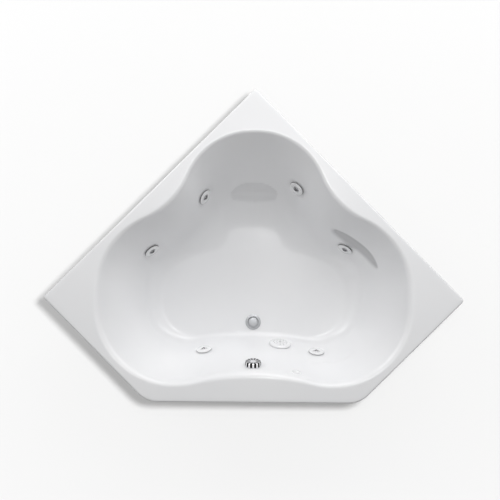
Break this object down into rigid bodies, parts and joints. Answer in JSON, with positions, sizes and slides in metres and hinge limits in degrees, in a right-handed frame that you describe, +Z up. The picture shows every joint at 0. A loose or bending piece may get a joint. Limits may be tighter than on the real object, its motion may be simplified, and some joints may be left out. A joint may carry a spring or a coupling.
{
  "type": "jetted bathtub",
  "caption": "Corner jetted bath: lobed drop-in shell on a timber base, with aiming wall jets, overflow knob, pop-up drain, push button, suction fitting, hoses and pump.",
  "frame": {"origin": "on the ground under the middle of the rim's bounding box", "axes": "+X to the right side corner, +Y to the room corner, +Z up"},
  "size_m": [1.9288, 1.4416, 0.508],
  "materials": {
    "white_acrylic": "high gloss moulded acrylic",
    "timber": "raw plywood and softwood",
    "black_rubber": "matt moulded rubber",
    "zinc_steel": "zinc plated",
    "chrome": "polished chrome plate",
    "steel": "turned steel",
    "white_pvc": "satin pipe plastic",
    "white_plastic": "gloss moulded plastic",
    "grey_plastic": "satin moulded plastic",
    "clear_hose": "smooth soft plastic hose",
    "black_hose": "smooth soft hose",
    "black_plastic": "fine grained moulded plastic",
    "motor_paint": "satin paint on cast aluminium"
  },
  "bodies": {
    "tub": {"tub_shell": "white_acrylic", "bottom_board": "timber", "support_rails": "timber", "deck_battens": "timber", "foot_pads": "black_rubber", "foot_studs": "zinc_steel", "foot_nuts": "zinc_steel", "wall_gaskets": "black_rubber", "drain_flange": "chrome", "drain_shoe": "white_pvc", "waste_pipe": "white_pvc", "waste_tee": "white_pvc", "waste_outlet": "white_pvc", "slip_nuts": "white_pvc", "overflow_pipe": "white_pvc", "overflow_elbow": "white_pvc", "overflow_collar": "chrome", "lift_cable": "black_hose", "jet_fittings": "white_plastic", "jet_nuts": "grey_plastic", "jet_bodies": "grey_plastic", "water_hoses": "clear_hose", "manifold_tee": "white_pvc", "air_hoses": "black_hose", "air_silencer": "black_plastic", "suction_cover": "white_plastic", "suction_screw": "steel", "suction_fitting": "white_plastic", "suction_nut": "grey_plastic", "suction_pipe": "white_pvc", "discharge_pipe": "white_pvc", "button_bezel": "white_plastic", "button_tube": "clear_hose", "pump_volute": "black_plastic", "motor_housing": "motor_paint", "fan_cover": "black_plastic", "pump_base": "black_plastic", "terminal_box": "black_plastic", "cord_gland": "black_plastic", "union_nuts": "grey_plastic"},
    "knob": {"overflow_knob": "chrome", "knob_spindle": "steel"},
    "stopper": {"stopper_cap": "chrome", "stopper_seal": "black_rubber", "stopper_stem": "steel"},
    "button": {"button_cap": "white_plastic"},
    "rotor": {"impeller": "grey_plastic", "pump_shaft": "zinc_steel"},
    "ring_1": {"jet_ring_1": "white_plastic"},
    "nozzle_1": {"jet_nozzle_1": "white_plastic"},
    "ring_2": {"jet_ring_2": "white_plastic"},
    "nozzle_2": {"jet_nozzle_2": "white_plastic"},
    "ring_3": {"jet_ring_3": "white_plastic"},
    "nozzle_3": {"jet_nozzle_3": "white_plastic"},
    "ring_4": {"jet_ring_4": "white_plastic"},
    "nozzle_4": {"jet_nozzle_4": "white_plastic"},
    "ring_5": {"jet_ring_5": "white_plastic"},
    "nozzle_5": {"jet_nozzle_5": "white_plastic"},
    "ring_6": {"jet_ring_6": "white_plastic"},
    "nozzle_6": {"jet_nozzle_6": "white_plastic"}
  },
  "joints": [
    {"name": "overflow_knob_turn", "type": "hinge", "parent": "tub", "child": "knob", "pos_m": [0, -0.56042, 0.438], "axis": [0, 0.9649, 0.2625], "range_deg": [-90, 0]},
    {"name": "stopper_lift", "type": "slide", "parent": "tub", "child": "stopper", "axis": [0, 0, 1], "range_m": [-0.008, 0]},
    {"name": "jet_ring_1_turn", "type": "hinge", "parent": "tub", "child": "ring_1", "pos_m": [0.31506, -0.52547, 0.2], "axis": [0.0603, 0.9515, 0.3016], "range_deg": [0, 90]},
    {"name": "jet_nozzle_1_tilt", "type": "hinge", "parent": "ring_1", "child": "nozzle_1", "pos_m": [0.31518, -0.52357, 0.2006], "axis": [-0.998, 0.0633, 0], "range_deg": [-15, 15]},
    {"name": "jet_ring_2_turn", "type": "hinge", "parent": "tub", "child": "ring_2", "pos_m": [0.455, -0.00654, 0.204], "axis": [-0.4671, -0.7968, 0.3833], "range_deg": [0, 90]},
    {"name": "jet_nozzle_2_tilt", "type": "hinge", "parent": "ring_2", "child": "nozzle_2", "pos_m": [0.45406, -0.00813, 0.20477], "axis": [0.8627, -0.5057, 0], "range_deg": [-15, 15]},
    {"name": "jet_ring_3_turn", "type": "hinge", "parent": "tub", "child": "ring_3", "pos_m": [0.20742, 0.28488, 0.284], "axis": [-0.6087, -0.6277, 0.4853], "range_deg": [0, 90]},
    {"name": "jet_nozzle_3_tilt", "type": "hinge", "parent": "ring_3", "child": "nozzle_3", "pos_m": [0.20621, 0.28362, 0.28497], "axis": [0.7179, -0.6961, 0], "range_deg": [-15, 15]},
    {"name": "jet_ring_4_turn", "type": "hinge", "parent": "tub", "child": "ring_4", "pos_m": [-0.2433, 0.23937, 0.284], "axis": [0.7861, -0.4601, 0.4128], "range_deg": [0, 90]},
    {"name": "jet_nozzle_4_tilt", "type": "hinge", "parent": "ring_4", "child": "nozzle_4", "pos_m": [-0.24173, 0.23845, 0.28483], "axis": [0.5051, 0.863, 0], "range_deg": [-15, 15]},
    {"name": "jet_ring_5_turn", "type": "hinge", "parent": "tub", "child": "ring_5", "pos_m": [-0.50483, -0.02413, 0.236], "axis": [0.5861, -0.7072, 0.3954], "range_deg": [0, 90]},
    {"name": "jet_nozzle_5_tilt", "type": "hinge", "parent": "ring_5", "child": "nozzle_5", "pos_m": [-0.50366, -0.02555, 0.23679], "axis": [0.77, 0.6381, 0], "range_deg": [-15, 15]},
    {"name": "jet_ring_6_turn", "type": "hinge", "parent": "tub", "child": "ring_6", "pos_m": [-0.2441, -0.51879, 0.2], "axis": [-0.1149, 0.9446, 0.3076], "range_deg": [0, 90]},
    {"name": "jet_nozzle_6_tilt", "type": "hinge", "parent": "ring_6", "child": "nozzle_6", "pos_m": [-0.24432, -0.5169, 0.20061], "axis": [-0.9927, -0.1207, 0], "range_deg": [-15, 15]},
    {"name": "button_press", "type": "slide", "parent": "tub", "child": "button", "axis": [-0.2014, -0.9427, -0.266], "range_m": [0, 0.004], "stiffness_N_per_m": 400},
    {"name": "pump_spin", "type": "hinge", "parent": "tub", "child": "rotor", "pos_m": [0.7, -0.292, 0.137], "axis": [0, 1, 0], "continuous": true}
  ],
  "couplings": [
    {"joint": "stopper_lift", "follows": "overflow_knob_turn", "m_per_rad": 0.005093}
  ]
}
